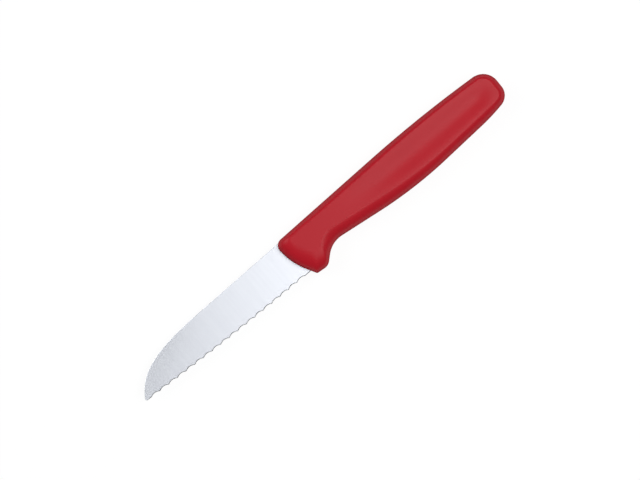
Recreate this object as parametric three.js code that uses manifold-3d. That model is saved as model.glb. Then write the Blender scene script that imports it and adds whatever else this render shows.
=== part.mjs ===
// A serrated paring knife: one stamped, ground and serrated steel blade, whose hidden tang is held in a
// one-piece moulded plastic handle. Sizes are in millimetres. The knife lies on its side: +X runs from
// tip to butt, +Y from edge to spine, and +Z out of the upper side. Sketches start where the line of the
// spine meets the front of the handle, and z = 0 in them is the middle of the sheet.
import * as THREE from "three";
import { mergeVertices } from "three/addons/utils/BufferGeometryUtils.js";
import Module from "manifold-3d";

// Blade
const BLADE_REACH = 79.5; // tip to the start of the sketch
const SPINE_THICKNESS = 1.2; // the sheet
const EDGE_THICKNESS = 0.4; // left at the tooth line by the wedge grind
const GRIND_START = 0.8; // the wedge grind starts this far below the spine line, above the heel
const GRIND_END = 5.5; // and stops here, inside the handle
const HEEL_DEPTH = 16.7; // spine line to tooth line at the heel
const TIP_DEPTH = 12.6; // spine line to tooth line at the tip
const EDGE_BELLY = 0.8; // bow of the tooth line below a straight one
const TIP_RADIUS = 0.65;
const TIP_HEADING = 56; // steepness of the spine where it runs into the tip, in degrees
const SPINE_CURVE = 37.3; // length of the stretch where the spine drops to the tip
const SPINE_PULL = 24; // how long that stretch keeps the direction of the spine
const TIP_PULL = 9.5; // how long it keeps the direction of the tip

// Serration, ground from the lower side only
const TOOTH_PITCH = 4.287;
const TOOTH_TIP = 0.29; // blunt tip of a tooth, between two scallops
const SCALLOP_DEPTH = 0.66;
const GRIND_ANGLE = 18; // slope of a scallop to the sheet, in degrees
const TIP_LAND = 2.4; // plain edge left at the tip
const TEETH_END = 0.6; // no scallop passes this place on the sketch, just in front of the handle

// Tang
const SHOULDER = 7; // where the heel ends, inside the guard
const SPINE_SHOULDER = 2.5; // where the spine ends, inside the nose of the handle
const SHOULDER_RADIUS = 1.5;
const TANG_DROP = 3.2; // spine line to the tang's upper edge
const TANG_WIDTH = 8;
const TANG_TAIL = 10; // last keying hole to the tang's end
const TANG_RADIUS = 2.5;
const KEY_HOLES = 3;
const KEY_HOLE_DIAMETER = 4.4;
const KEY_HOLE_START = 22;
const KEY_HOLE_PITCH = 17;

// Handle
const MOULD_FIT = 0.1; // between plastic and steel
const HANDLE_THICKNESS = 11.6;
const HANDLE_LENGTH = 108.45; // nose to the corner of the sketch at the butt
const NOSE_OVERHANG = 1; // the nose stands this far in front of the sketch's start
const NOSE_RADIUS = 3.1;
const FRONT_DROP = 8.9; // spine line to the bend of the front edge
const FRONT_RADIUS = 26;
const GUARD_TOE = 4.25; // front end of the finger guard's foot
const GUARD_TOE_LIFT = 0.6;
const GUARD_TOE_RADIUS = 1;
const GUARD_FOOT = 5.2; // length of that foot
const GUARD_COVER = 2.9; // tooth line to the foot of the guard
const GUARD_HEEL_RADIUS = 4;
const RECESS_PLACE = 16.6; // corner of the finger recess behind the guard
const RECESS_COVER = 2.25; // tang to that corner
const RECESS_RADIUS = 10.5;
const BELLY_PLACE = 55.4;
const BELLY_DROP = 19.27;
const BELLY_RADIUS = 180;
const RISE_SETBACK = 10.8; // butt to where the belly starts to rise to it
const RISE_DROP = 17.78;
const RISE_RADIUS = 85;
const BUTT_LOWER_SETBACK = 0.53;
const BUTT_LOWER_DROP = 16.1;
const BUTT_LOWER_RADIUS = 5.7;
const BUTT_UPPER_DROP = 1.9;
const BUTT_UPPER_RADIUS = 7.6;
const BACK_PLACE = 75.5;
const BACK_RISE = 0.98; // back edge above the spine line, at its bend
const BACK_RADIUS = 580;
const NOSE_RISE = 0.5; // and at the nose

// Rounding of the handle between its outline and its flat side panels
const FRONT_BEVEL = 6;
const TOE_BEVEL = 7.5; // along the front edge, from its bend to the guard's toe
const GUARD_BEVEL = 4.2;
const RECESS_BEVEL = 4.7;
const BELLY_BEVEL = 3.5;
const BUTT_BEVEL = 2.9;
const BACK_REAR_BEVEL = 2.1; // along the back, from the butt to its bend
const BACK_BEVEL = 2.4; // and from there to the nose
const PANEL_RADIUS = 5; // least radius of a panel's corner
const RIM_FULLNESS = 2.6; // exponent of the rounding at the rim: 2 is an ellipse, and more is fuller
const CREST_FULLNESS = 1.4; // exponent at the crest of a panel: 1 is a plain ridge, 2 has none
const FRONT_FULLNESS = 2; // the same at the front
const ROUND_FRONT = 9; // the front's exponent holds up to here
const CREST_START = 17; // and the other from here on

// How finely curves are drawn
const CORNER_POINTS = 9;
const RIM_STEPS = 7;
const SPINE_STEPS = 26;
const EDGE_STEPS = 20;
const SCALLOP_STEPS = 8;
const HOLE_STEPS = 24;

const wasm = await Module();
wasm.setup();

// A closed geometry as a solid that can be cut.
function solidFrom(geometry) {
  const bare = geometry.clone();
  bare.deleteAttribute("normal");
  bare.deleteAttribute("uv");
  const merged = mergeVertices(bare);
  return new wasm.Manifold(
    new wasm.Mesh({
      numProp: 3,
      vertProperties: merged.attributes.position.array,
      triVerts: new Uint32Array(merged.index.array),
    }),
  );
}

// A cut solid as a geometry.
function geometryFrom(solid) {
  const { numProp, vertProperties, triVerts } = solid.getMesh();
  const vertices = new THREE.InterleavedBuffer(vertProperties, numProp);
  const geometry = new THREE.BufferGeometry();
  geometry.setAttribute("position", new THREE.InterleavedBufferAttribute(vertices, 3, 0));
  geometry.setIndex(new THREE.BufferAttribute(triVerts, 1));
  const flat = geometry.toNonIndexed();
  flat.computeVertexNormals();
  return flat;
}

// Length of a rounding from the corner to where it leaves each side.
function roundingLength({ at, radius }, before, after) {
  const angle = before.clone().sub(at).angleTo(after.clone().sub(at));
  return radius / Math.tan(angle / 2);
}

// Points on the arc that rounds one corner, from the side before it to the side after it.
function roundedCorner(at, before, after, length, count) {
  const toBefore = before.clone().sub(at).normalize();
  const toAfter = after.clone().sub(at).normalize();
  const start = at.clone().addScaledVector(toBefore, length);
  const half = toBefore.angleTo(toAfter) / 2;
  const inward = toBefore.clone().add(toAfter).normalize();
  const centre = at.clone().addScaledVector(inward, length / Math.cos(half));
  const turn = Math.sign(toAfter.cross(toBefore)) * (Math.PI - 2 * half);
  return Array.from({ length: count }, (_, i) =>
    start.clone().rotateAround(centre, (turn * i) / (count - 1)),
  );
}

// A closed loop of rounded corners. Two roundings that would meet on a side share its length.
function roundedLoop(corners) {
  const count = corners.length;
  const around = (i) => corners[(i + count) % count];
  const wanted = corners.map((corner, i) => roundingLength(corner, around(i - 1).at, around(i + 1).at));
  const share = corners.map((corner, i) => {
    const side = corner.at.distanceTo(around(i + 1).at);
    return Math.min(1, side / (wanted[i] + wanted[(i + 1) % count]));
  });
  return corners.flatMap(({ at, points }, i) => {
    const length = wanted[i] * Math.min(share[i], share[(i + count - 1) % count]);
    return roundedCorner(at, around(i - 1).at, around(i + 1).at, length, points);
  });
}

// Where two lines cross, each given by a point on it and a direction.
function crossing(first, second) {
  const between = second.point.clone().sub(first.point);
  const along = between.cross(second.direction) / first.direction.cross(second.direction);
  return first.point.clone().addScaledVector(first.direction, along);
}

// The side from one corner of an anticlockwise loop to the next, moved inwards.
function movedSide(from, to, inset) {
  const direction = to.clone().sub(from).normalize();
  const inward = new THREE.Vector2(-direction.y, direction.x);
  return { point: from.clone().addScaledVector(inward, inset), direction };
}

// An anticlockwise loop of points with each side moved outwards.
function grownLoop(points, distance) {
  const count = points.length;
  const sides = points.map((from, i) => movedSide(from, points[(i + 1) % count], -distance));
  return sides.map((side, i) => {
    const before = sides[(i + count - 1) % count];
    const straight = Math.abs(before.direction.cross(side.direction)) < Number.EPSILON;
    return straight ? side.point : crossing(before, side);
  });
}

const point = (x, y) => new THREE.Vector2(x, y);

// The tooth line, from the tip to the heel.
const tipStart = point(TIP_RADIUS - BLADE_REACH, -TIP_DEPTH);
const heel = point(SHOULDER, -HEEL_DEPTH);
const edgeBow = tipStart.clone().lerp(heel, 0.5).sub(point(0, 2 * EDGE_BELLY));
const toothLine = new THREE.QuadraticBezierCurve(tipStart, edgeBow, heel);

// The wedge grind is one plane on each side, level along the tooth line, so the spine thins to the tip.
const grindStart = point(SHOULDER, -GRIND_START);
const grindDirection = heel.clone().sub(tipStart).normalize();
const grindDepth = (at) => at.clone().sub(grindStart).cross(grindDirection);
const grindFall = (SPINE_THICKNESS - EDGE_THICKNESS) / 2 / grindDepth(heel);
const cutterReach = 2 * SPINE_THICKNESS; // how far a cutter goes past what it cuts

// The outline of the spine, from the handle to the start of the tooth line.
function spineOutline() {
  const heading = THREE.MathUtils.degToRad(TIP_HEADING);
  const centre = tipStart.clone().add(point(0, TIP_RADIUS));
  const upperSide = Math.PI / 2 + heading;
  const end = centre.clone().add(point(Math.cos(upperSide), Math.sin(upperSide)).multiplyScalar(TIP_RADIUS));
  const start = point(SPINE_CURVE - BLADE_REACH, 0);
  const drop = new THREE.CubicBezierCurve(
    start,
    start.clone().sub(point(SPINE_PULL, 0)),
    end.clone().add(point(Math.cos(heading), Math.sin(heading)).multiplyScalar(TIP_PULL)),
    end,
  );
  const nose = new THREE.EllipseCurve(
    centre.x, centre.y, TIP_RADIUS, TIP_RADIUS, upperSide, 1.5 * Math.PI, false, 0,
  );
  return [...drop.getPoints(SPINE_STEPS), ...nose.getPoints(CORNER_POINTS).slice(1, -1)];
}

// The tang's outline, from the heel round its end to the spine.
const tangTop = -TANG_DROP;
const tangBottom = -(TANG_DROP + TANG_WIDTH);
const tangEnd = KEY_HOLE_START + (KEY_HOLES - 1) * KEY_HOLE_PITCH + TANG_TAIL;
function tangOutline() {
  const corners = [
    { at: point(SHOULDER, tangBottom), radius: SHOULDER_RADIUS },
    { at: point(tangEnd, tangBottom), radius: TANG_RADIUS },
    { at: point(tangEnd, tangTop), radius: TANG_RADIUS },
    { at: point(SHOULDER, tangTop), radius: SHOULDER_RADIUS },
  ];
  const route = [heel, ...corners.map(({ at }) => at), point(SPINE_SHOULDER, 0)];
  const rounded = corners.flatMap((corner, i) => {
    const length = roundingLength(corner, route[i], route[i + 2]);
    return roundedCorner(corner.at, route[i], route[i + 2], length, CORNER_POINTS);
  });
  return [...rounded, point(SPINE_SHOULDER, 0)];
}

// The blade before it is serrated. Grown by a clearance, it is the pocket for the tang.
function groundBlade(grow) {
  const outline = [...spineOutline(), ...toothLine.getPoints(EDGE_STEPS), ...tangOutline()];
  const shape = new THREE.Shape(grownLoop(outline, grow));
  for (let i = 0; i < KEY_HOLES; i++) {
    const x = KEY_HOLE_START + i * KEY_HOLE_PITCH;
    const y = (tangTop + tangBottom) / 2;
    const hole = new THREE.EllipseCurve(
      x, y, KEY_HOLE_DIAMETER / 2 - grow, KEY_HOLE_DIAMETER / 2 - grow, 0, 2 * Math.PI, true, 0,
    );
    shape.holes.push(new THREE.Path(hole.getPoints(HOLE_STEPS).slice(0, -1)));
  }
  const thickness = SPINE_THICKNESS + 2 * grow;
  const sheet = new THREE.ExtrudeGeometry(shape, { depth: thickness, bevelEnabled: false });
  sheet.translate(0, 0, -thickness / 2);

  const length = BLADE_REACH + SHOULDER + cutterReach;
  const width = HEEL_DEPTH + EDGE_BELLY + cutterReach;
  let solid = solidFrom(sheet);
  for (const side of [1, -1]) {
    const wedge = new THREE.BoxGeometry(length, width, cutterReach);
    wedge.translate(GRIND_END - SHOULDER - grow - length / 2, -width / 2, (side * cutterReach) / 2);
    wedge.rotateX(side * Math.atan(grindFall));
    wedge.rotateZ(grindDirection.angle());
    wedge.translate(grindStart.x, grindStart.y, (side * thickness) / 2);
    solid = solid.subtract(solidFrom(wedge));
  }
  return solid;
}

// What the wheel takes away for one scallop, whose middle is on the tooth line at the given share of it.
function scallopCutter(share) {
  const slope = THREE.MathUtils.degToRad(GRIND_ANGLE);
  const rise = SCALLOP_DEPTH * Math.sin(slope);
  const halfWidth = (TOOTH_PITCH - TOOTH_TIP) / 2;
  const wheel = (halfWidth ** 2 + rise ** 2) / (2 * rise);
  const reach = Math.asin((halfWidth + TOOTH_TIP) / wheel);
  const arc = new THREE.EllipseCurve(
    0, wheel - rise, wheel, wheel, 1.5 * Math.PI - reach, 1.5 * Math.PI + reach, false, 0,
  );
  const face = arc.getPoints(SCALLOP_STEPS);
  const shape = new THREE.Shape([...face, point(face.at(-1).x, cutterReach), point(face[0].x, cutterReach)]);
  const run = SPINE_THICKNESS / Math.sin(slope);
  const cutter = new THREE.ExtrudeGeometry(shape, { depth: run + 2 * cutterReach, bevelEnabled: false });
  cutter.translate(0, 0, -cutterReach);

  const along = toothLine.getTangent(share);
  const across = new THREE.Vector3(along.x, along.y, 0);
  const up = new THREE.Vector3(0, 0, 1).cross(across);
  const lean = new THREE.Matrix4().makeBasis(across, up, new THREE.Vector3(0, 0, 1));
  const tilt = new THREE.Matrix4().makeRotationX(-Math.PI / 2 - slope);
  const tooth = toothLine.getPoint(share);
  const upperFace = SPINE_THICKNESS / 2 - grindFall * grindDepth(tooth);
  const place = new THREE.Matrix4().makeTranslation(tooth.x, tooth.y, upperFace);
  return cutter.applyMatrix4(place.multiply(lean).multiply(tilt));
}

// The finished blade, with as many scallops as the edge has room for.
function bladeGeometry() {
  let solid = groundBlade(0);
  const first = TIP_LAND - BLADE_REACH;
  const scallops = Math.floor((TEETH_END - first) / TOOTH_PITCH);
  for (let i = 0; i < scallops; i++) {
    const middle = first + (i + 0.5) * TOOTH_PITCH;
    const share = (middle - tipStart.x) / (heel.x - tipStart.x);
    solid = solid.subtract(solidFrom(scallopCutter(share)));
  }
  return geometryFrom(solid);
}

// The handle's outline before rounding, anticlockwise from the nose. Each corner has the rounding
// between outline and panel along the side that follows it.
function handleCorners() {
  const butt = HANDLE_LENGTH - NOSE_OVERHANG;
  const guardFoot = -(HEEL_DEPTH + GUARD_COVER);
  const corners = [
    [point(-NOSE_OVERHANG, NOSE_RISE), NOSE_RADIUS, FRONT_BEVEL],
    [point(-NOSE_OVERHANG, -FRONT_DROP), FRONT_RADIUS, TOE_BEVEL],
    [point(GUARD_TOE, guardFoot + GUARD_TOE_LIFT), GUARD_TOE_RADIUS, null],
    [point(GUARD_TOE + GUARD_FOOT, guardFoot), GUARD_HEEL_RADIUS, GUARD_BEVEL],
    [point(RECESS_PLACE, tangBottom - RECESS_COVER), RECESS_RADIUS, RECESS_BEVEL],
    [point(BELLY_PLACE, -BELLY_DROP), BELLY_RADIUS, BELLY_BEVEL],
    [point(butt - RISE_SETBACK, -RISE_DROP), RISE_RADIUS, BUTT_BEVEL],
    [point(butt - BUTT_LOWER_SETBACK, -BUTT_LOWER_DROP), BUTT_LOWER_RADIUS, BUTT_BEVEL],
    [point(butt, -BUTT_UPPER_DROP), BUTT_UPPER_RADIUS, BACK_REAR_BEVEL],
    [point(BACK_PLACE, BACK_RISE), BACK_RADIUS, BACK_BEVEL],
  ];
  return corners.map(([at, radius, bevel]) => ({ at, radius, bevel, points: CORNER_POINTS }));
}

// The panel's corners. It has no side along the guard's foot, whose two corners share one on the panel.
function panelCorners(corners) {
  const sides = corners.map(({ at, bevel, radius, points }, i) => {
    const next = corners[(i + 1) % corners.length].at;
    return { ...movedSide(at, next, bevel ?? 0), bevel, radius, points };
  });
  const kept = sides.filter(({ bevel }) => bevel !== null);
  return kept.map((side, i) => {
    const before = kept[(i + kept.length - 1) % kept.length];
    const convex = Math.sign(before.direction.cross(side.direction));
    const inset = (convex * (before.bevel + side.bevel)) / 2;
    const merged = sides[(sides.indexOf(side) + sides.length - 1) % sides.length].bevel === null;
    return {
      at: crossing(before, side),
      radius: Math.max(PANEL_RADIUS, side.radius - inset),
      points: merged ? 2 * side.points : side.points,
    };
  });
}

// The handle as rings of points from the lower panel round the rim to the upper panel.
function handleGeometry() {
  const corners = handleCorners();
  const rim = roundedLoop(corners);
  const panel = roundedLoop(panelCorners(corners));
  const count = rim.length;
  const rings = 2 * RIM_STEPS;
  const positions = [];
  for (let ring = 0; ring <= rings; ring++) {
    const angle = ((ring - RIM_STEPS) / RIM_STEPS) * (Math.PI / 2);
    const height = Math.sign(angle) * Math.abs(Math.sin(angle)) ** (2 / RIM_FULLNESS);
    rim.forEach((outer, i) => {
      const flank = THREE.MathUtils.smoothstep(outer.x, ROUND_FRONT, CREST_START);
      const crest = THREE.MathUtils.lerp(FRONT_FULLNESS, CREST_FULLNESS, flank);
      const inset = 1 - Math.max(0, Math.cos(angle)) ** (2 / crest);
      const { x, y } = outer.clone().lerp(panel[i], inset);
      positions.push(x, y, (height * HANDLE_THICKNESS) / 2);
    });
  }
  const index = [];
  for (let ring = 0; ring < rings; ring++) {
    for (let i = 0; i < count; i++) {
      const low = ring * count;
      const next = (i + 1) % count;
      index.push(low + i, low + next, low + count + next);
      index.push(low + i, low + count + next, low + count + i);
    }
  }
  const top = rings * count;
  for (const [a, b, c] of THREE.ShapeUtils.triangulateShape(panel, [])) {
    index.push(top + a, top + b, top + c);
    index.push(c, b, a);
  }
  const body = new THREE.BufferGeometry();
  body.setAttribute("position", new THREE.Float32BufferAttribute(positions, 3));
  body.setIndex(index);
  return geometryFrom(solidFrom(body).subtract(groundBlade(MOULD_FIT)));
}

const steel = new THREE.MeshStandardMaterial({ color: 0xd9dbe0, metalness: 1, roughness: 0.35 });
const redPlastic = new THREE.MeshStandardMaterial({ color: 0xb5252f, metalness: 0, roughness: 0.4 });

const blade = new THREE.Mesh(bladeGeometry(), steel);
blade.name = "blade";
const handle = new THREE.Mesh(handleGeometry(), redPlastic);
handle.name = "handle";

// The part's origin is under the middle of the knife, on the surface that it lies on.
const assembly = new THREE.Group().add(blade, handle);
const box = new THREE.Box3().setFromObject(assembly);
const middle = box.getCenter(new THREE.Vector3());
assembly.position.set(-middle.x, -middle.y, -box.min.z);

const knife = new THREE.Group().add(assembly);
export default knife;
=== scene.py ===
"""Looks of a small serrated kitchen knife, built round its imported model.

A satin-ground steel blade with a scalloped edge stands in a red handle moulded in one piece. Sizes in the
classes are millimetres on the maker's sketch, whose start is where the line of the spine meets the front of
the handle: +X runs to the butt, +Y to the spine, and z = 0 is the middle of the sheet. Meshes are in metres,
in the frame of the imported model.
"""

import logging
import math
from dataclasses import dataclass, field
from enum import Enum

import bmesh
import bpy
import numpy as np
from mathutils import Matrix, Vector

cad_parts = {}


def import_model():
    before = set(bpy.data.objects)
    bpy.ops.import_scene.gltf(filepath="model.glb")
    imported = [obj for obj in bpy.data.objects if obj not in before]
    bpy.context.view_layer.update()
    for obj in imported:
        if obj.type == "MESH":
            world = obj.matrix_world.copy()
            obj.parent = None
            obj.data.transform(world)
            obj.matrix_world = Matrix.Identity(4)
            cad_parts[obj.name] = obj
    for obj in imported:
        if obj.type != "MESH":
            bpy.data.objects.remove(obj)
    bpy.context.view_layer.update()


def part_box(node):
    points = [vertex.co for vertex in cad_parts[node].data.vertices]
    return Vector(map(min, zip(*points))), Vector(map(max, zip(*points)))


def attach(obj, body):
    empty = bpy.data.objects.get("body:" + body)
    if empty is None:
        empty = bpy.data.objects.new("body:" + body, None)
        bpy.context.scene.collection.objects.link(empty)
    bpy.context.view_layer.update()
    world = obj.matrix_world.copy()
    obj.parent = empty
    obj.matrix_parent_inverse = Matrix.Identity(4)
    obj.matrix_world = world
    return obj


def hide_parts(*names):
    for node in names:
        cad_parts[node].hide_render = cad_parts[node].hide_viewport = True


LOG = logging.getLogger("serrated_knife")
MM = 0.001  # metres in a millimetre
WELD = 1e-7  # points closer than this, in metres, fall together
BODY = "root"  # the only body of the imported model


class Slot(Enum):
    """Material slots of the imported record."""

    BLADE = "blade_steel"
    HANDLE = "handle_plastic"


def linear(colour: str) -> tuple[float, float, float, float]:
    """Turns an sRGB hex colour into linear values.

    Args:
        colour: six hex digits after a hash sign.

    Returns:
        Red, green, blue and an alpha of 1.
    """
    coded = np.array([int(colour[i : i + 2], 16) for i in (1, 3, 5)]) / 255.0
    plain = np.where(coded <= 0.04045, coded / 12.92, ((coded + 0.055) / 1.055) ** 2.4)
    return (*plain.tolist(), 1.0)


def add_node(
    tree: bpy.types.NodeTree,
    kind: str,
    inputs: dict | None = None,
    settings: dict | None = None,
    output: str | None = None,
) -> bpy.types.NodeSocket | None:
    """Adds a node with its settings, and sets or links its inputs.

    Args:
        tree: node tree that gets the node.
        kind: Blender's name for the type of node.
        inputs: for an input's name or number, the output to link to it or the value to set.
        settings: values of the node's own properties, by name.
        output: name of the output to give. Without it, the first one is given.

    Returns:
        An output of the new node, or None where it has none.
    """
    node = tree.nodes.new(kind)
    for name, value in (settings or {}).items():
        setattr(node, name, value)
    for name, value in (inputs or {}).items():
        socket = next(s for number, s in enumerate(node.inputs) if s.enabled and name in (number, s.name))
        if isinstance(value, bpy.types.NodeSocket):
            tree.links.new(value, socket)
        else:
            socket.default_value = value
    return next((s for s in node.outputs if s.enabled and output in (None, s.name)), None)


def new_material(name: str) -> bpy.types.Material:
    """Makes a material with an empty node tree.

    Args:
        name: name of the material.

    Returns:
        The new material.
    """
    material = bpy.data.materials.new(name)
    material.use_nodes = True
    material.node_tree.nodes.clear()
    return material


def smoothstep(low: float, high: float, value: np.ndarray) -> np.ndarray:
    """Rises from 0 at low to 1 at high and is level at both ends: 3t^2 - 2t^3."""
    share = np.clip((value - low) / (high - low), 0.0, 1.0)
    return share * share * (3.0 - 2.0 * share)


def ring_faces(rings: int, count: int) -> np.ndarray:
    """Gives the quads between rings that each close on themselves.

    Args:
        rings: number of rings.
        count: points in each ring. Point c of ring r has the number r * count + c.

    Returns:
        Four point numbers for each quad.
    """
    ring, place = np.meshgrid(np.arange(rings - 1), np.arange(count), indexing="ij")
    here = ring * count + place
    beside = ring * count + (place + 1) % count
    return np.stack([here, beside, beside + count, here + count], axis=-1).reshape(-1, 4)


def end_faces(first: int, rows: int) -> np.ndarray:
    """Gives the quads that close a flat ring, between its upper rows and the lower rows under them.

    Args:
        first: number of the ring's first point.
        rows: points along the upper side. The lower side has as many, in reverse order.

    Returns:
        Four point numbers for each quad.
    """
    row = np.arange(rows - 1)
    return first + np.stack([row, row + 1, 2 * rows - 2 - row, 2 * rows - 1 - row], axis=-1)


def closed_piece(name: str, points: np.ndarray, faces: np.ndarray) -> bpy.types.Object:
    """Makes a closed, smooth-shaded mesh object at the origin, with its faces pointing outwards.

    Args:
        name: name of the piece.
        points: places of its points in metres, the last axis being x, y and z.
        faces: point numbers of its quads. Points that fall together are welded.

    Returns:
        The new object, in the scene.
    """
    mesh = bpy.data.meshes.new(name)
    mesh.from_pydata(points.reshape(-1, 3).tolist(), [], faces.tolist())
    shell = bmesh.new()
    shell.from_mesh(mesh)
    bmesh.ops.remove_doubles(shell, verts=shell.verts, dist=WELD)
    bmesh.ops.recalc_face_normals(shell, faces=shell.faces)
    shell.to_mesh(mesh)
    shell.free()
    mesh.shade_smooth()
    piece = bpy.data.objects.new(name, mesh)
    bpy.context.scene.collection.objects.link(piece)
    return piece


def cut_away(piece: bpy.types.Object, cutter: bpy.types.Object) -> None:
    """Cuts one closed piece out of another and removes the cutter.

    Args:
        piece: the piece that is cut. Its mesh is replaced by the result.
        cutter: the piece whose space is taken out.
    """
    knife = piece.modifiers.new("cut", "BOOLEAN")
    knife.operation = "DIFFERENCE"
    knife.solver = "EXACT"
    knife.object = cutter
    evaluated = piece.evaluated_get(bpy.context.evaluated_depsgraph_get())
    result = bpy.data.meshes.new_from_object(evaluated)
    result.name = piece.name
    piece.modifiers.clear()
    piece.data = result
    bpy.data.objects.remove(cutter)


def dress(
    piece: bpy.types.Object,
    material: bpy.types.Material,
    node: str,
    crease: float,
) -> None:
    """Gives a finished piece its material and its place in the frame.

    Args:
        piece: the finished piece.
        material: its material.
        node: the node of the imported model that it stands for.
        crease: edges that turn by more degrees than this are sharp.
    """
    piece.data.shade_smooth()
    piece.data.set_sharp_from_angle(angle=math.radians(crease))
    piece.data.materials.clear()
    piece.data.materials.append(material)
    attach(piece, BODY)
    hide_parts(node)
    LOG.info("%s: %d faces, stands for %s", piece.name, len(piece.data.polygons), node)


@dataclass(frozen=True)
class SatinSteel:
    """Stainless steel sheet, ground from spine to edge with a fine belt.

    The belt leaves close parallel lines, so reflections are soft and drawn out along the blade, and the grey
    is even with only a faint streak where the belt was fresher or more worn.
    """

    name: str = "satin_ground_stainless_steel"
    colour: str = "#D0D3D9"
    streak: str = "#C9CCD3"
    roughness: float = 0.4
    roughness_range: float = 0.05
    anisotropy: float = 0.65
    line_width: float = 0.12  # a real line is about 0.02 mm wide, too fine to show, so it is drawn coarser
    line_length: float = 9.0
    line_depth: float = 0.0006
    line_detail: float = 2.0
    streak_width: float = 1.6
    streak_length: float = 30.0
    streak_detail: float = 1.0

    def material(self, uv_map: str) -> bpy.types.Material:
        """Builds the material.

        Args:
            uv_map: the blade's map, whose U axis runs along the blade, across the lines.

        Returns:
            The material.
        """
        material = new_material(self.name)
        tree = material.node_tree
        place = add_node(tree, "ShaderNodeTexCoord", output="Object")

        def lines(width: float, length: float, detail: float) -> bpy.types.NodeSocket:
            """Gives noise that is drawn out from spine to edge.

            Args:
                width: width of its lines in millimetres.
                length: their length in millimetres.
                detail: number of finer layers of noise in it.

            Returns:
                The output with the noise.
            """
            scale = (1.0 / (width * MM), 1.0 / (length * MM), 1.0 / (width * MM))
            mapped = add_node(tree, "ShaderNodeMapping", {"Vector": place, "Scale": scale})
            return add_node(tree, "ShaderNodeTexNoise", {"Vector": mapped, "Scale": 1.0, "Detail": detail})

        fine = lines(self.line_width, self.line_length, self.line_detail)
        broad = lines(self.streak_width, self.streak_length, self.streak_detail)
        colours = {"Factor": broad, "A": linear(self.colour), "B": linear(self.streak)}
        ends = {
            "Value": fine,
            "To Min": self.roughness - self.roughness_range,
            "To Max": self.roughness + self.roughness_range,
        }
        relief = {"Height": fine, "Strength": 1.0, "Distance": self.line_depth * MM}
        along = {"direction_type": "UV_MAP", "uv_map": uv_map}
        steel = {
            "Base Color": add_node(tree, "ShaderNodeMix", colours, {"data_type": "RGBA"}),
            "Metallic": 1.0,
            "Roughness": add_node(tree, "ShaderNodeMapRange", ends),
            "Anisotropic": self.anisotropy,
            "Normal": add_node(tree, "ShaderNodeBump", relief),
            "Tangent": add_node(tree, "ShaderNodeTangent", None, along),
        }
        shader = add_node(tree, "ShaderNodeBsdfPrincipled", steel)
        add_node(tree, "ShaderNodeOutputMaterial", {"Surface": shader})
        return material


@dataclass(frozen=True)
class MouldedPolypropylene:
    """Red polypropylene, coloured through and injection-moulded in a spark-eroded mould.

    The mould gives a satin skin with a very fine grain, and the flow of the plastic leaves faint clouds of
    lighter and darker red.
    """

    name: str = "satin_moulded_polypropylene"
    colour: str = "#BD1D2A"
    cloud: str = "#B81B28"
    roughness: float = 0.36
    roughness_range: float = 0.04
    ior: float = 1.49
    gloss: float = 0.19  # the grain scatters part of what a smooth skin would reflect
    slant_angles: tuple[float, float] = (50.0, 76.0)  # seen aslant, it scatters more and more
    slant_roughness: float = 0.45
    grain: float = 0.3  # a spark-eroded grain is about 0.05 mm, too fine to show, so it is drawn coarser
    grain_depth: float = 0.0012
    grain_detail: float = 2.0
    cloud_size: float = 14.0
    cloud_detail: float = 1.0

    def material(self) -> bpy.types.Material:
        """Builds the material.

        Returns:
            The material.
        """
        material = new_material(self.name)
        tree = material.node_tree
        place = add_node(tree, "ShaderNodeTexCoord", output="Object")
        grain = {"Vector": place, "Scale": 1.0 / (self.grain * MM), "Detail": self.grain_detail}
        fine = add_node(tree, "ShaderNodeTexNoise", grain)
        cloud = {"Vector": place, "Scale": 1.0 / (self.cloud_size * MM), "Detail": self.cloud_detail}
        broad = add_node(tree, "ShaderNodeTexNoise", cloud)
        colours = {"Factor": broad, "A": linear(self.colour), "B": linear(self.cloud)}
        ends = {
            "Value": fine,
            "To Min": self.roughness - self.roughness_range,
            "To Max": self.roughness + self.roughness_range,
        }
        first, last = (1.0 - math.cos(math.radians(angle)) for angle in self.slant_angles)
        rise = {
            "Value": add_node(tree, "ShaderNodeLayerWeight", output="Facing"),
            "From Min": first,
            "From Max": last,
            "To Max": self.slant_roughness,
        }
        both = {0: add_node(tree, "ShaderNodeMapRange", ends), 1: add_node(tree, "ShaderNodeMapRange", rise)}
        relief = {"Height": fine, "Strength": 1.0, "Distance": self.grain_depth * MM}
        plastic = {
            "Base Color": add_node(tree, "ShaderNodeMix", colours, {"data_type": "RGBA"}),
            "Roughness": add_node(tree, "ShaderNodeMath", both, {"operation": "ADD"}),
            "IOR": self.ior,
            "Specular IOR Level": self.gloss,
            "Normal": add_node(tree, "ShaderNodeBump", relief),
        }
        shader = add_node(tree, "ShaderNodeBsdfPrincipled", plastic)
        add_node(tree, "ShaderNodeOutputMaterial", {"Surface": shader})
        return material


@dataclass(frozen=True)
class Lines:
    """Straight lines across the blade from edge to spine, in order from the tip to the tang's end."""

    low: np.ndarray
    high: np.ndarray

    def joined(self, after: "Lines") -> "Lines":
        """Gives these lines followed by others."""
        return Lines(np.vstack([self.low, after.low]), np.vstack([self.high, after.high]))


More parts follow.
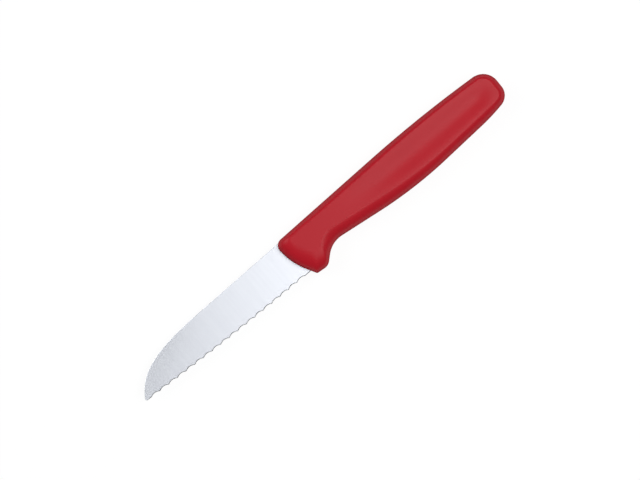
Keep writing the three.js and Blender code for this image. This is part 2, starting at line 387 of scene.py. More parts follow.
@dataclass
class Blade:
    """One stamping of steel sheet: ground to a wedge, serrated from the lower side, with its tang behind."""

    reach: float = 79.5  # from the tip to the start of the sketch
    spine_thickness: float = 1.2
    edge_thickness: float = 0.4
    grind_start: float = 0.8  # from the spine down to the start of the grind, at the shoulder
    grind_end: float = 5.5  # the grind runs out from here to the shoulder
    heel_depth: float = 16.7
    tip_depth: float = 12.6
    edge_belly: float = 0.8
    tip_radius: float = 0.65
    tip_heading: float = 56.0  # slope in degrees at which the spine meets the rounded tip
    spine_curve: float = 37.3  # from the tip to where the spine starts to curve
    spine_pull: float = 24.0
    tip_pull: float = 9.5
    tooth_pitch: float = 4.287
    tooth_tip: float = 0.29
    scallop_depth: float = 0.66
    grind_angle: float = 18.0  # degrees between the wheel's path and the sheet
    tip_land: float = 2.4  # from the tip to where the row of teeth starts
    teeth_end: float = 0.6  # the row of teeth ends before this place
    shoulder: float = 7.0
    spine_shoulder: float = 2.5
    shoulder_radius: float = 1.5
    tang_drop: float = 3.2
    tang_width: float = 8.0
    tang_tail: float = 10.0
    tang_radius: float = 2.5
    key_holes: int = 3
    key_hole_diameter: float = 4.4
    key_hole_start: float = 22.0
    key_hole_pitch: float = 17.0
    covered: float = 4.0  # from here on the handle hides the blade
    spine_ease: float = 0.12  # width of the eased edge along the spine
    ease_fall: float = 0.05
    roll_fall: float = 0.12  # the belt rolls over the curve of the spine, and takes this much more there
    roll_width: float = 9.0
    roll_place: float = 17.5  # from the tip to where it takes most
    roll_length: float = 11.0
    burr_width: float = 0.26  # deburred strip along the edge, on the upper side
    burr_fall: float = 0.138
    edge_left: float = 0.03  # thickness of the sharp edge in a scallop
    narrow: float = 4.0  # where the blade is narrower than this, its rows close up
    least_upright: float = 0.5  # the eased edge is widened by 1 / this at most where the spine is steep
    tip_points: int = 14
    curve_points: int = 400
    scallop_points: int = 19
    tip_gaps: tuple[float, float] = (0.1, 0.15)  # from the tip's centre to the next line, and on from there
    heel_gaps: tuple[float, float] = (0.2, 0.3)  # the same behind the last tooth
    jump: float = 0.002  # lines this far before and behind each end of the row of teeth catch its step
    front_points: int = 20
    heel_points: int = 8
    turn_points: int = 10
    tang_points: int = 60
    hole_points: int = 64
    fine_rows: tuple[float, float, float] = (0.42, 2.5, 0.13)  # first, limit and gap of the rows by the edge
    middle_rows: int = 10
    ease_rows: tuple[float, ...] = (6.0, 3.5, 2.0, 1.0, 0.0)  # rows by the spine, in widths of its eased edge
    plain_rows: tuple[float, ...] = (0.0, 0.5, 0.9, 0.96, 1.0)  # rows of a pocket, as shares of its lines
    crease: float = 20.0  # edges that turn by more degrees are sharp
    uv_map: str = "along_blade"
    start: np.ndarray = field(init=False)

    def __post_init__(self) -> None:
        """Finds the start of the sketch in the frame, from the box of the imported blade."""
        low, high = (np.array(corner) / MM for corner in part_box("blade"))
        self.start = np.array([low[0] + self.reach, high[1], (low[2] + high[2]) / 2.0])

    @property
    def tip_centre(self) -> np.ndarray:
        """Centre of the rounded tip."""
        return np.array([self.tip_radius - self.reach, self.tip_radius - self.tip_depth])

    @property
    def tang_end(self) -> float:
        """Place of the tang's end."""
        return self.key_hole_start + (self.key_holes - 1) * self.key_hole_pitch + self.tang_tail

    @property
    def teeth_start(self) -> float:
        """Place where the first tooth's pitch starts."""
        return self.tip_land - self.reach

    @property
    def scallops(self) -> int:
        """Number of scallops between the tip and the heel."""
        return math.floor((self.teeth_end - self.teeth_start) / self.tooth_pitch)

    @property
    def half_scallop(self) -> float:
        """Half the width of a scallop."""
        return (self.tooth_pitch - self.tooth_tip) / 2.0

    def tooth_line(self, x: np.ndarray) -> np.ndarray:
        """Gives the height of the tooth line: a straight line from tip to heel, bowed down by 4 b t (1 - t).

        Args:
            x: places along the blade.

        Returns:
            The heights.
        """
        share = (x - self.tip_centre[0]) / (self.shoulder - self.tip_centre[0])
        straight = -self.tip_depth + share * (self.tip_depth - self.heel_depth)
        return straight - 4.0 * self.edge_belly * share * (1.0 - share)

    @property
    def grind_fall(self) -> float:
        """Fall of each ground side for each millimetre away from the spine."""
        return (self.spine_thickness - self.edge_thickness) / 2.0 / (self.heel_depth - self.grind_start)

    def side(self, x: np.ndarray, y: np.ndarray) -> np.ndarray:
        """Gives the height of the upper side above the middle of the sheet.

        The grind is a plane, level along the chord of the tooth line: half the sheet less the fall times the
        depth under the line where the grind starts. It runs out inside the handle. By the curve of the spine
        the side falls away further: by the square of the nearness to the spine, times a bell curve along the
        blade.

        Args:
            x: places along the blade.
            y: places across it.

        Returns:
            The heights.
        """
        slope = (self.tip_depth - self.heel_depth) / (self.shoulder - self.tip_centre[0])
        depth = slope * (x - self.shoulder) - (y + self.grind_start)
        ground = 1.0 - smoothstep(self.grind_end, self.shoulder, x)
        nearness = np.clip(1.0 - (self.spine(x) - y) / self.roll_width, 0.0, 1.0)
        along = np.exp(-(((x + self.reach - self.roll_place) / self.roll_length) ** 2))
        fall = self.grind_fall * np.maximum(depth, 0.0) * ground + self.roll_fall * along * nearness**2
        return self.spine_thickness / 2.0 - fall

    def scallop(self, x: np.ndarray) -> np.ndarray:
        """Gives the height of the wheel's round face over the tooth line, square to its slope.

        Each scallop is an arc of radius R through both ends of a gap between teeth, with its middle a rise h
        above them: R - h - sqrt(R^2 - s^2) at the distance s from its middle. Outside the scallops the height
        is infinite.

        Args:
            x: places along the blade.

        Returns:
            The heights, which are below 0 where the wheel cuts above the tooth line.
        """
        rise = self.scallop_depth * math.sin(math.radians(self.grind_angle))
        half = self.half_scallop
        wheel = (half**2 + rise**2) / (2.0 * rise)
        number = np.clip(np.floor((x - self.teeth_start) / self.tooth_pitch), 0, self.scallops - 1)
        away = np.abs(x - self.teeth_start - (number + 0.5) * self.tooth_pitch)
        face = wheel - rise - np.sqrt(np.maximum(wheel**2 - away**2, 0.0))
        return np.where(away <= half + self.tooth_tip, face, np.inf)

    def edge(self, x: np.ndarray) -> np.ndarray:
        """Gives the height of the cutting edge: the tooth line, raised to where scallops meet the upper side.

        Args:
            x: places along the blade.

        Returns:
            The heights.
        """
        slope = math.radians(self.grind_angle)
        gain = math.cos(slope) * (math.tan(slope) + self.grind_fall)
        return self.tooth_line(x) + np.maximum(-self.scallop(x) / gain, 0.0)

    def spine(self, x: np.ndarray) -> np.ndarray:
        """Gives the height of the spine: straight, then a cubic curve down to the tip's arc, tangent to it.

        Behind the blade it slopes down to the tang.

        Args:
            x: places along the blade.

        Returns:
            The heights.
        """
        heading = math.radians(self.tip_heading)
        centre = self.tip_centre
        end = centre + self.tip_radius * np.array([-math.sin(heading), math.cos(heading)])
        begin = np.array([self.spine_curve - self.reach, 0.0])
        pulls = [
            begin,
            begin - np.array([self.spine_pull, 0.0]),
            end + self.tip_pull * np.array([math.cos(heading), math.sin(heading)]),
            end,
        ]
        share = np.linspace(1.0, 0.0, self.curve_points)[:, None]
        rest = 1.0 - share
        weights = [rest**3, 3.0 * rest**2 * share, 3.0 * rest * share**2, share**3]
        curve = sum(weight * pull for weight, pull in zip(weights, pulls))
        drop = np.interp(x, curve[:, 0], curve[:, 1])
        arc = centre[1] + np.sqrt(np.maximum(self.tip_radius**2 - (x - centre[0]) ** 2, 0.0))
        shoulder = np.interp(x, [self.spine_shoulder, self.shoulder], [0.0, -self.tang_drop])
        return np.where(x < end[0], arc, np.where(x < begin[0], drop, shoulder))

    def blade_lines(self) -> Lines:
        """Gives upright lines from the tip to where the handle covers the blade, closest in the scallops.

        Returns:
            The lines.
        """
        centre = self.tip_centre
        half = self.half_scallop
        middles = self.teeth_start + (np.arange(self.scallops) + 0.5) * self.tooth_pitch
        step = np.append(np.linspace(-half, half, self.scallop_points), self.tooth_pitch / 2.0)
        ends = np.array([middles[0] - half - self.tooth_tip, middles[-1] + half + self.tooth_tip])
        round_tip = centre[0] - self.tip_radius * np.cos(np.linspace(0.0, math.pi / 2.0, self.tip_points))
        after_tip, tip_gap = self.tip_gaps
        after_teeth, heel_gap = self.heel_gaps
        x = np.concatenate(
            [
                round_tip,
                np.arange(centre[0] + after_tip, ends[0], tip_gap),
                (middles[:, None] + step).ravel(),
                (ends[:, None] + np.array([-self.jump, self.jump])).ravel(),
                np.arange(ends[1] + after_teeth, self.covered, heel_gap),
            ]
        )
        x = np.unique(x)
        under = centre[1] - np.sqrt(np.maximum(self.tip_radius**2 - (x - centre[0]) ** 2, 0.0))
        low = np.where(x < centre[0], under, self.edge(x))
        return Lines(np.stack([x, low], -1), np.stack([x, self.spine(x)], -1))

    def tang_lines(self, grow: float) -> Lines:
        """Gives lines across the heel and the tang.

        The lower ends run along the heel, up the shoulder, round its fillet, along the tang and round its
        corner. The upper ends run down from the spine, along the tang and round its other corner.

        Args:
            grow: how far the outline is moved outwards.

        Returns:
            The lines.
        """
        top, bottom = grow - self.tang_drop, -self.tang_drop - self.tang_width - grow
        wall, end = self.shoulder + grow, self.tang_end + grow
        fillet, corner = self.shoulder_radius - grow, self.tang_radius + grow
        heel = np.linspace(self.covered, wall, self.heel_points)
        turn = np.linspace(0.0, math.pi / 2.0, self.turn_points)
        run = np.linspace(wall + fillet, end - corner, self.tang_points)[1:-1]
        climb = np.linspace(-self.heel_depth - grow, bottom - fillet, self.heel_points)[1:-1]
        low = np.vstack(
            [
                np.stack([heel, self.tooth_line(np.minimum(heel, self.shoulder)) - grow], -1),
                np.stack([np.full_like(climb, wall), climb], -1),
                np.stack([wall + fillet * (1 - np.cos(turn)), bottom - fillet * (1 - np.sin(turn))], -1),
                np.stack([run, np.full_like(run, bottom)], -1),
                np.stack([end - corner * (1 - np.sin(turn)), bottom + corner * (1 - np.cos(turn))], -1),
            ]
        )
        before = len(low) - len(run) - len(turn)
        fall = np.linspace(self.covered, wall + fillet, before)
        high = np.vstack(
            [
                np.stack([fall, self.spine(fall) + grow], -1),
                np.stack([run, np.full_like(run, top)], -1),
                np.stack([end - corner * (1 - np.sin(turn)), top - corner * (1 - np.cos(turn))], -1),
            ]
        )
        return Lines(low, high)

    def rows(self, width: np.ndarray, closing: np.ndarray, easing: np.ndarray) -> np.ndarray:
        """Gives the rows on each line as shares of its length, close together at the edge and the spine.

        Args:
            width: length of each line.
            closing: share of their usual distance that the rows of each line have.
            easing: length of the eased edge on each line.

        Returns:
            One row of shares for each line.
        """
        near_edge = np.concatenate([[0.0, self.burr_width], np.arange(*self.fine_rows)]) * closing
        near_spine = np.array(self.ease_rows) * easing
        low = near_edge / width
        high = 1.0 - near_spine / width
        middle = np.linspace(0.0, 1.0, self.middle_rows + 2)[1:-1]
        between = low[:, -1:] + middle * (high[:, :1] - low[:, -1:])
        return np.hstack([low, between, high])

    def sheet(self, name: str, lines: Lines, grow: float, finished: bool) -> bpy.types.Object:
        """Makes the sheet between its two ground sides.

        Each line is a straight row of points, low + v (high - low), once on the upper side and once on the
        lower. A finished blade also has its eased spine, its deburred edge and its scallops: the lower side
        is the higher of the wedge and the wheel's face, which falls from the upper side at the tooth line by
        the distance above that line times the tangent of the grind angle, less the wheel's own height.

        Args:
            name: name of the piece.
            lines: the lines across it.
            grow: how far both sides are moved outwards.
            finished: whether it is finished, or plain for a pocket.

        Returns:
            The closed piece.
        """
        width = np.maximum(np.linalg.norm(lines.high - lines.low, axis=1), WELD)[:, None]
        run = np.gradient(lines.high, axis=0)
        upright = np.abs(run[:, :1]) / np.maximum(np.linalg.norm(run, axis=1, keepdims=True), WELD)
        closing = np.minimum(1.0, width / self.narrow)
        easing = closing * self.spine_ease / np.maximum(upright, self.least_upright)
        plain = np.tile(self.plain_rows, (len(width), 1))
        shares = self.rows(width, closing, easing) if finished else plain
        at = lines.low[:, None] + shares[..., None] * (lines.high - lines.low)[:, None]
        x, y = at[..., 0], at[..., 1]
        upper = self.side(x, y) + grow
        lower = -upper
        if finished:
            from_spine, from_edge = (1.0 - shares) * width, shares * width
            eased = self.ease_fall * closing * np.maximum(1.0 - from_spine / easing, 0.0)
            burr = self.burr_fall * closing * np.maximum(1.0 - from_edge / (self.burr_width * closing), 0.0)
            slope = math.radians(self.grind_angle)
            line = self.tooth_line(x)
            wheel = (line - y) * math.tan(slope) - self.scallop(x) / math.cos(slope) + self.side(x, line)
            upper = upper - eased - burr
            lower = np.minimum(np.maximum(lower + eased, wheel), upper - self.edge_left)
        rows = shares.shape[1]
        flat = np.concatenate([at, at[:, ::-1]], axis=1)
        heights = np.concatenate([upper, lower[:, ::-1]], axis=1)
        points = (np.concatenate([flat, heights[..., None]], axis=-1) + self.start) * MM
        faces = [ring_faces(len(width), 2 * rows)]
        faces.append(end_faces(2 * rows * (len(width) - 1), rows))
        if not finished:
            faces.append(end_faces(0, rows))
        return closed_piece(name, points, np.vstack(faces))

    def key_hole(self, number: int, shrink: float) -> bpy.types.Object:
        """Makes a cutter for a keying hole: a circle below the tang and one above it, with their centres.

        Args:
            number: which hole, from the front.
            shrink: how much smaller its radius is.

        Returns:
            The cutter.
        """
        turn = np.linspace(0.0, 2.0 * math.pi, self.hole_points, endpoint=False)
        radius = self.key_hole_diameter / 2.0 - shrink
        x = self.key_hole_start + number * self.key_hole_pitch
        y = -self.tang_drop - self.tang_width / 2.0
        circle = np.stack([np.cos(turn), np.sin(turn)], -1)
        shares = np.array([0.0, 1.0, 1.0, 0.0])[:, None, None]
        heights = np.array([-1.0, -1.0, 1.0, 1.0])[:, None, None] * self.spine_thickness
        flat = np.array([x, y]) + radius * shares * circle
        tall = np.broadcast_to(heights, (*flat.shape[:2], 1))
        points = (np.concatenate([flat, tall], axis=-1) + self.start) * MM
        return closed_piece(f"key_hole_{number}", points, ring_faces(len(shares), len(turn)))

    def pocket(self, fit: float) -> bpy.types.Object:
        """Makes the space that the heel and the tang take up in the handle.

        Args:
            fit: gap between steel and plastic.

        Returns:
            The cutter for the handle.
        """
        x = np.linspace(-self.covered, self.covered, self.front_points, endpoint=False)
        front = Lines(np.stack([x, self.tooth_line(x) - fit], -1), np.stack([x, self.spine(x) + fit], -1))
        space = self.sheet("tang_pocket", front.joined(self.tang_lines(fit)), fit, finished=False)
        for number in range(self.key_holes):
            cut_away(space, self.key_hole(number, fit))
        return space

    def build(self, finish: SatinSteel) -> bpy.types.Object:
        """Builds and dresses the blade.

        Args:
            finish: its steel.

        Returns:
            The blade.
        """
        lines = self.blade_lines().joined(self.tang_lines(0.0))
        blade = self.sheet("satin_blade", lines, 0.0, finished=True)
        for number in range(self.key_holes):
            cut_away(blade, self.key_hole(number, 0.0))
        corners = np.empty(len(blade.data.loops), dtype=np.int32)
        blade.data.loops.foreach_get("vertex_index", corners)
        places = np.empty(3 * len(blade.data.vertices), dtype=np.float32)
        blade.data.vertices.foreach_get("co", places)
        layer = blade.data.uv_layers.new(name=self.uv_map)
        layer.data.foreach_set("uv", places.reshape(-1, 3)[corners, :2].ravel())
        dress(blade, finish.material(self.uv_map), "blade", self.crease)
        return blade


@dataclass(frozen=True)
class Corner:
    """A corner of the handle's outline, with the bevel along the side that follows it, if there is one.

    The radius of the panel's corner inside it is worked out, unless it is given here.
    """

    x: float
    y: float
    radius: float
    bevel: float | None
    panel_radius: float | None = None


def rounded_outline(
    places: np.ndarray,
    radii: np.ndarray,
    arc_points: list[int],
    side_points: int,
) -> np.ndarray:
    """Rounds the corners of a closed outline.

    A rounding of radius r leaves its sides r / tan(a / 2) from a corner of angle a, and two roundings that
    would meet on a side share its length.

    Args:
        places: the corners, in order.
        radii: a radius for each.
        arc_points: points on the arc of each corner.
        side_points: points on each side after its arc.

    Returns:
        The points of the outline.
    """
    back, ahead = np.roll(places, 1, axis=0) - places, np.roll(places, -1, axis=0) - places
    side = np.linalg.norm(ahead, axis=1)
    ahead = ahead / side[:, None]
    back = back / np.linalg.norm(back, axis=1)[:, None]
    half = np.arccos(np.clip((back * ahead).sum(axis=1), -1.0, 1.0)) / 2.0
    wanted = radii / np.tan(half)
    share = np.minimum(1.0, side / (wanted + np.roll(wanted, -1)))
    length = wanted * np.minimum(share, np.roll(share, 1))
    middle = (back + ahead) / np.linalg.norm(back + ahead, axis=1)[:, None]
    centres = places + middle * (length / np.cos(half))[:, None]
    starts = places + back * length[:, None] - centres
    turns = np.sign(ahead[:, 0] * back[:, 1] - ahead[:, 1] * back[:, 0]) * (math.pi - 2.0 * half)
    stretches = []
    for corner, count in enumerate(arc_points):
        angle = np.linspace(0.0, turns[corner], count)
        x, y = starts[corner]
        arc = np.stack([x * np.cos(angle) - y * np.sin(angle), x * np.sin(angle) + y * np.cos(angle)], -1)
        following = (corner + 1) % len(places)
        begin = centres[corner] + arc[-1]
        straight = np.linspace(0.0, 1.0, side_points + 2)[1:-1, None]
        stretches.append(centres[corner] + arc)
        stretches.append(begin + straight * (centres[following] + starts[following] - begin))
    return np.vstack(stretches)


@dataclass
class Handle:
    """One moulding of plastic round the tang, with a guard, a finger recess and hollowed side panels."""

    blade: Blade
    mould_fit: float = 0.05  # gap between the plastic and the steel
    thickness: float = 11.6
    length: float = 108.45
    nose_overhang: float = 1.0
    nose_rise: float = 0.5
    nose_radius: float = 3.1
    toe_drop: float = 8.9
    toe_radius: float = 26.0
    foot_place: float = 4.25
    foot_rise: float = 0.6
    foot_radius: float = 1.0
    guard_cover: float = 2.9  # plastic below the heel of the blade
    guard_place: float = 9.45
    guard_radius: float = 4.0
    recess_cover: float = 2.25  # plastic below the tang
    recess_place: float = 16.6
    recess_radius: float = 10.5
    belly_place: float = 55.4
    belly_drop: float = 19.27
    belly_radius: float = 180.0
    rise_run: float = 10.8  # from where the lower side starts to rise to the butt
    rise_drop: float = 17.78
    rise_radius: float = 85.0
    rise_panel: float = 25.0  # radius of the panel's corner there
    butt_lean: float = 0.53
    butt_drop: float = 16.1
    butt_radius: float = 5.7
    butt_panel: float = 9.0  # radius of the panel's corner there
    back_drop: float = 1.9
    back_radius: float = 7.6
    crown_place: float = 75.5
    crown_rise: float = 0.98
    crown_radius: float = 580.0
    front_bevel: float = 6.0
    toe_bevel: float = 7.5  # along the lower half of the front
    guard_bevel: float = 4.2
    recess_bevel: float = 4.7
    belly_bevel: float = 3.5
    butt_bevel: float = 2.9
    back_rear_bevel: float = 2.1
    back_bevel: float = 2.4
    panel_radius: float = 5.0  # least radius of a panel's corner
    rim_fullness: float = 2.6  # exponent at the rim: 2 is an ellipse, and more is fuller
    crest_fullness: float = 1.4  # exponent at the crest of the flanks: 1 is a plain ridge, 2 has none
    front_fullness: float = 2.0  # the same at the front
    front_ends: tuple[float, float] = (9.0, 17.0)  # between these places the one turns into the other
    hollow: float = 0.8  # depth of the panels' hollow, where the thick plastic sank as it cooled
    hollow_ends: tuple[float, float] = (26.0, 62.0)  # it deepens towards the butt, past the tang
    hollow_reach: float = 9.0  # from its end at the butt to the full depth
    seam_height: float = 0.05  # parting line of the mould, round the middle of the rim
    seam_width: float = 0.09
    front_middle: float = -8.0  # heights at which the panel's middle line meets the front and the butt
    butt_middle: float = -9.0
    stretch_ends: tuple[float, float] = (18.0, 98.0)  # from the front to the grip, and from it to the butt
    stretch_counts: tuple[int, int, int] = (120, 230, 80)
    arc_points: int = 64
    corner_weight: float = 3.0  # millimetres that a turn by one radian counts for in spacing the points
    # Heights of rings as shares of half the thickness: by the seam, on the flank, and down from the crest
    seam_rings: tuple[float, ...] = (0.0, 0.007, 0.014, 0.022, 0.032, 0.05, 0.1, 0.16)
    flank_rings: tuple[float, float, int] = (0.23, 0.74, 10)  # first, last and number
    crest_rings: tuple[float, ...] = (0.2, 0.15, 0.1, 0.065, 0.04, 0.024, 0.013, 0.007, 0.003, 0.001, 0.0)
    hollow_rings: int = 19
    crease: float = 40.0  # edges that turn by more degrees are sharp

    def corners(self) -> list[Corner]:
        """Gives the corners of the outline, anticlockwise from the nose.

        Returns:
            The corners.
        """
        butt = self.length - self.nose_overhang
        rise, end = butt - self.rise_run, butt - self.butt_lean
        foot = -(self.blade.heel_depth + self.guard_cover)
        recess = -(self.blade.tang_drop + self.blade.tang_width + self.recess_cover)
        return [
            Corner(-self.nose_overhang, self.nose_rise, self.nose_radius, self.front_bevel),
            Corner(-self.nose_overhang, -self.toe_drop, self.toe_radius, self.toe_bevel),
            Corner(self.foot_place, foot + self.foot_rise, self.foot_radius, None),
            Corner(self.guard_place, foot, self.guard_radius, self.guard_bevel),
            Corner(self.recess_place, recess, self.recess_radius, self.recess_bevel),
            Corner(self.belly_place, -self.belly_drop, self.belly_radius, self.belly_bevel),
            Corner(rise, -self.rise_drop, self.rise_radius, self.butt_bevel, self.rise_panel),
            Corner(end, -self.butt_drop, self.butt_radius, self.butt_bevel, self.butt_panel),
            Corner(butt, -self.back_drop, self.back_radius, self.back_rear_bevel),
            Corner(self.crown_place, self.crown_rise, self.crown_radius, self.back_bevel),
        ]

    def panel_outline(self, corners: list[Corner]) -> np.ndarray:
        """Gives the outline of the panel, with a point for each point of the rim.

        Its sides are the rim's, moved in by their bevels. The guard's foot has none, so its two corners share
        one on the panel, which has the points of both and of the side between them.

        Args:
            corners: the corners of the rim.

        Returns:
            The points of the panel.
        """
        places = np.array([(corner.x, corner.y) for corner in corners])
        radii = np.array([corner.radius for corner in corners])
        count = self.arc_points
        kept = [number for number, corner in enumerate(corners) if corner.bevel is not None]
        ahead = np.roll(places, -1, axis=0) - places
        ahead = (ahead / np.linalg.norm(ahead, axis=1)[:, None])[kept]
        bevels = np.array([corners[number].bevel for number in kept])
        moved = places[kept] + bevels[:, None] * np.stack([-ahead[:, 1], ahead[:, 0]], -1)
        before, came = np.roll(moved, 1, axis=0), np.roll(ahead, 1, axis=0)
        between = moved - before
        turn = came[:, 0] * ahead[:, 1] - came[:, 1] * ahead[:, 0]
        along = (between[:, 0] * ahead[:, 1] - between[:, 1] * ahead[:, 0]) / turn
        inside = before + along[:, None] * came
        inset = np.sign(turn) * (bevels + np.roll(bevels, 1)) / 2.0
        usual = np.maximum(self.panel_radius, radii[kept] - inset)
        given = [corners[number].panel_radius for number in kept]
        inside_radii = np.array([radius or other for radius, other in zip(given, usual)])
        counts = [3 * count if corners[number - 1].bevel is None else count for number in kept]
        return rounded_outline(inside, inside_radii, counts, count)

    def outlines(self) -> tuple[np.ndarray, np.ndarray]:
        """Gives the rim and the panel inside it as matching loops.

        Both loops start in the middle of the front, and go along the lower side to the middle of the butt and
        back along the upper side, with as many points in matching stretches of both sides. Points are spaced
        by length plus a weight times the angle turned.

        Returns:
            The points of the rim and of the panel.
        """
        corners = self.corners()
        places = np.array([(corner.x, corner.y) for corner in corners])
        radii = np.array([corner.radius for corner in corners])
        count = self.arc_points
        rim = rounded_outline(places, radii, [count] * len(corners), count)
        panel = self.panel_outline(corners)
        moving = np.linalg.norm(np.roll(rim, -1, axis=0) - rim, axis=1) > WELD / MM
        rim, panel = rim[moving], panel[moving]
        in_front = panel[:, 0] <= self.recess_place
        front = np.argmin(np.where(in_front, np.abs(panel[:, 1] - self.front_middle), np.inf))
        rim, panel = np.roll(rim, -front, axis=0), np.roll(panel, -front, axis=0)
        behind = panel[:, 0] >= self.length - self.nose_overhang - self.rise_run
        butt = np.argmin(np.where(behind, np.abs(panel[:, 1] - self.butt_middle), np.inf))
        rim, panel = np.vstack([rim, rim[:1]]), np.vstack([panel, panel[:1]])
        step = np.diff(rim, axis=0)
        heading = np.unwrap(np.arctan2(step[:, 1], step[:, 0]))
        turned = np.abs(np.diff(heading, prepend=heading[0]))
        measure = np.append(0.0, np.cumsum(np.linalg.norm(step, axis=1) + self.corner_weight * turned))
        first, last = self.stretch_ends
        marks = [
            0,
            np.argmax(panel[:butt, 0] > first),
            np.argmax(panel[:butt, 0] > last),
            butt,
            butt + np.argmax(panel[butt:, 0] < last),
            butt + np.argmax(panel[butt:, 0] < first),
            len(measure) - 1,
        ]
        counts = [*self.stretch_counts, *reversed(self.stretch_counts)]
        stretches = zip(marks[:-1], marks[1:], counts)
        wanted = np.concatenate(
            [
                np.linspace(measure[low], measure[high], points, endpoint=False)
                for low, high, points in stretches
            ]
        )
        even_rim = np.stack([np.interp(wanted, measure, rim[:, axis]) for axis in (0, 1)], -1)
        even_panel = np.stack([np.interp(wanted, measure, panel[:, axis]) for axis in (0, 1)], -1)
        return even_rim, even_panel

    def flank(self, rim: np.ndarray, panel: np.ndarray) -> np.ndarray:
        """Gives the rings from the middle of the rim up to the panel's crest.

        At the share h of half the thickness, a point lies 1 - (1 - h^a)^(1/b) of the way from rim to panel,
        where a is the fullness at the rim and b that at the crest. The parting line stands out of the rim by
        a bell curve of the height.

        Args:
            rim: the rim's points.
            panel: the panel's points.

        Returns:
            The rings, from the middle upwards.
        """
        near_crest = 1.0 - np.array(self.crest_rings)
        share = np.concatenate([self.seam_rings, np.linspace(*self.flank_rings), near_crest])[:, None]
        height = share * self.thickness / 2.0
        turned = smoothstep(*self.front_ends, rim[:, 0])
        crest = self.front_fullness + (self.crest_fullness - self.front_fullness) * turned
        inset = 1.0 - (1.0 - share**self.rim_fullness) ** (1.0 / crest)
        ahead = np.roll(rim, -1, axis=0) - np.roll(rim, 1, axis=0)
        outward = np.stack([ahead[:, 1], -ahead[:, 0]], -1) / np.linalg.norm(ahead, axis=1)[:, None]
        seam = self.seam_height * np.exp(-((height / self.seam_width) ** 2))
        flat = rim + inset[..., None] * (panel - rim) + seam[..., None] * outward
        return np.concatenate([flat, np.broadcast_to(height[..., None], (*inset.shape, 1))], axis=-1)

    def hollowed_panel(self, panel: np.ndarray) -> np.ndarray:
        """Gives the rings from the panel's crest in to its middle line.

        Points that match on the two sides share a point midway on the middle line. The hollow sinks by
        smoothstep, from the crest to the middle line, and comes up again towards the front and the butt.

        Args:
            panel: the panel's points.

        Returns:
            The rings, from the crest inwards.
        """
        number = np.arange(len(panel))
        middle = (panel + panel[-number]) / 2.0
        shares = np.linspace(0.0, 1.0, self.hollow_rings + 1)[1:, None]
        flat = panel + shares[..., None] * (middle - panel)
        to_butt = panel[:, 0].max() - flat[..., 0]
        depth = self.hollow * smoothstep(*self.hollow_ends, flat[..., 0])
        depth = depth * smoothstep(0.0, self.hollow_reach, to_butt)
        sunk = depth * smoothstep(0.0, 1.0, shares)
        return np.concatenate([flat, (self.thickness / 2.0 - sunk)[..., None]], axis=-1)

    def build(self, finish: MouldedPolypropylene) -> bpy.types.Object:
        """Builds and dresses the handle.

        Args:
            finish: its plastic.

        Returns:
            The handle.
        """
        rim, panel = self.outlines()
        upper = np.concatenate([self.flank(rim, panel), self.hollowed_panel(panel)])
        lower = upper[:0:-1] * np.array([1.0, 1.0, -1.0])
        rings = np.concatenate([lower, upper])
        points = (rings + self.blade.start) * MM
        handle = closed_piece("moulded_handle", points, ring_faces(len(rings), len(rim)))
        cut_away(handle, self.blade.pocket(self.mould_fit))
        dress(handle, finish.material(), "handle", self.crease)
        return handle


@dataclass(frozen=True)
class Softbox:
    """A square lamp behind a diffuser, aimed at the knife, in degrees, metres and watts."""

    name: str
    azimuth: float
    elevation: float
    distance: float
    width: float
    power: float

    def hang(self) -> None:
        """Hangs the lamp."""
        turn, lift = math.radians(self.azimuth), math.radians(self.elevation)
        away = Vector((math.cos(turn) * math.cos(lift), math.sin(turn) * math.cos(lift), math.sin(lift)))
        lamp = bpy.data.lights.new(self.name, "AREA")
        lamp.shape = "SQUARE"
        lamp.size = self.width
        lamp.energy = self.power
        holder = bpy.data.objects.new(self.name, lamp)
        holder.location = away * self.distance
        holder.rotation_euler = away.to_track_quat("Z", "Y").to_euler()
        bpy.context.scene.collection.objects.link(holder)


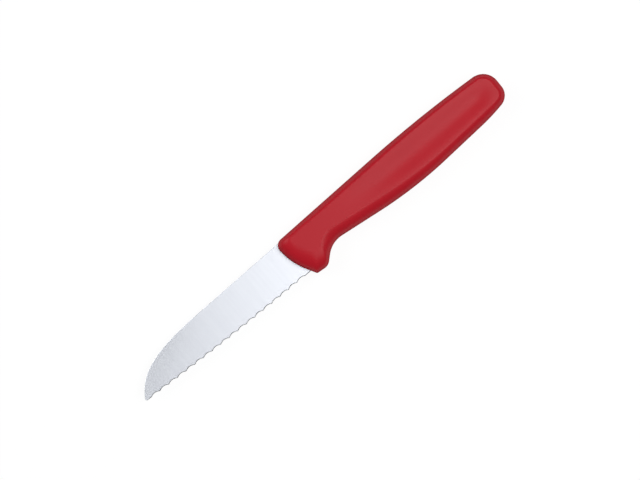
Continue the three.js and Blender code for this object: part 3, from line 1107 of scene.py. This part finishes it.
@dataclass
class Studio:
    """A white table with soft light, and the camera straight above it."""

    blade: Blade
    softboxes: tuple[Softbox, ...] = (
        Softbox("right_softbox", azimuth=-28.0, elevation=69.0, distance=0.85, width=0.7, power=5.25),
        Softbox("left_softbox", azimuth=125.0, elevation=45.0, distance=1.0, width=0.6, power=3.7),
    )
    dome: float = 0.1  # strength of the light from all round
    floor_size: float = 6.0  # in metres
    floor_colour: str = "#D8D8D8"
    floor_white: float = 1.08  # strength at which the table shows white
    floor_share: float = 0.85  # share of that white, the rest being the table's own shaded colour
    lens: float = 100.0
    sensor: float = 36.0
    turn: float = -41.2  # degrees by which the camera is turned about its axis
    frame_width: float = 251.9  # width of the picture at the middle of the sheet
    aim: tuple[float, float] = (13.6, -9.86)  # place on the sketch under the middle of the picture

    def world(self) -> None:
        """Lights the studio faintly from all round."""
        world = bpy.data.worlds.new("studio")
        world.use_nodes = True
        world.node_tree.nodes.clear()
        dome = add_node(world.node_tree, "ShaderNodeBackground", {"Strength": self.dome})
        add_node(world.node_tree, "ShaderNodeOutputWorld", {"Surface": dome})
        bpy.context.scene.world = world

    def floor(self) -> None:
        """Lays a pale table that shows white with a faint shadow, in reflections too."""
        half = self.floor_size / 2.0
        corners = [(-half, -half, 0.0), (half, -half, 0.0), (half, half, 0.0), (-half, half, 0.0)]
        mesh = bpy.data.meshes.new("table")
        mesh.from_pydata(corners, [], [(0, 1, 2, 3)])
        table = bpy.data.objects.new("table", mesh)
        bpy.context.scene.collection.objects.link(table)
        material = new_material("white_table")
        tree = material.node_tree
        rays = ("Is Camera Ray", "Is Glossy Ray", "Is Transmission Ray")
        kinds = [add_node(tree, "ShaderNodeLightPath", output=ray) for ray in rays]
        seen = add_node(tree, "ShaderNodeMath", {0: kinds[0], 1: kinds[1]}, {"operation": "MAXIMUM"})
        seen = add_node(tree, "ShaderNodeMath", {0: seen, 1: kinds[2]}, {"operation": "MAXIMUM"})
        glow = add_node(tree, "ShaderNodeMath", {0: seen, 1: self.floor_share}, {"operation": "MULTIPLY"})
        plain = add_node(tree, "ShaderNodeBsdfDiffuse", {"Color": linear(self.floor_colour)})
        white = add_node(tree, "ShaderNodeEmission", {"Strength": self.floor_white})
        mixed = add_node(tree, "ShaderNodeMixShader", {0: glow, 1: plain, 2: white})
        add_node(tree, "ShaderNodeOutputMaterial", {"Surface": mixed})
        table.data.materials.append(material)

    def camera(self) -> None:
        """Hangs the camera over the knife, at the height that gives the picture its width."""
        lens = bpy.data.cameras.new("camera")
        lens.lens = self.lens
        lens.sensor_width = self.sensor
        holder = bpy.data.objects.new("camera", lens)
        above = self.frame_width * self.lens / self.sensor
        place = self.blade.start + np.array([*self.aim, above])
        holder.location = (place * MM).tolist()
        holder.rotation_euler = (0.0, 0.0, math.radians(self.turn))
        bpy.context.scene.collection.objects.link(holder)
        bpy.context.scene.camera = holder

    def build(self) -> None:
        """Sets up the camera, the light and the table."""
        self.camera()
        self.world()
        self.floor()
        for softbox in self.softboxes:
            softbox.hang()
        bpy.context.scene.view_settings.view_transform = "Standard"


def main() -> None:
    """Builds the knife and its studio."""
    logging.basicConfig(level=logging.INFO, format="%(name)s: %(message)s")
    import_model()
    blade = Blade()
    Studio(blade).build()
    blade.build(SatinSteel())
    Handle(blade).build(MouldedPolypropylene())


if __name__ == "__main__":
    main()
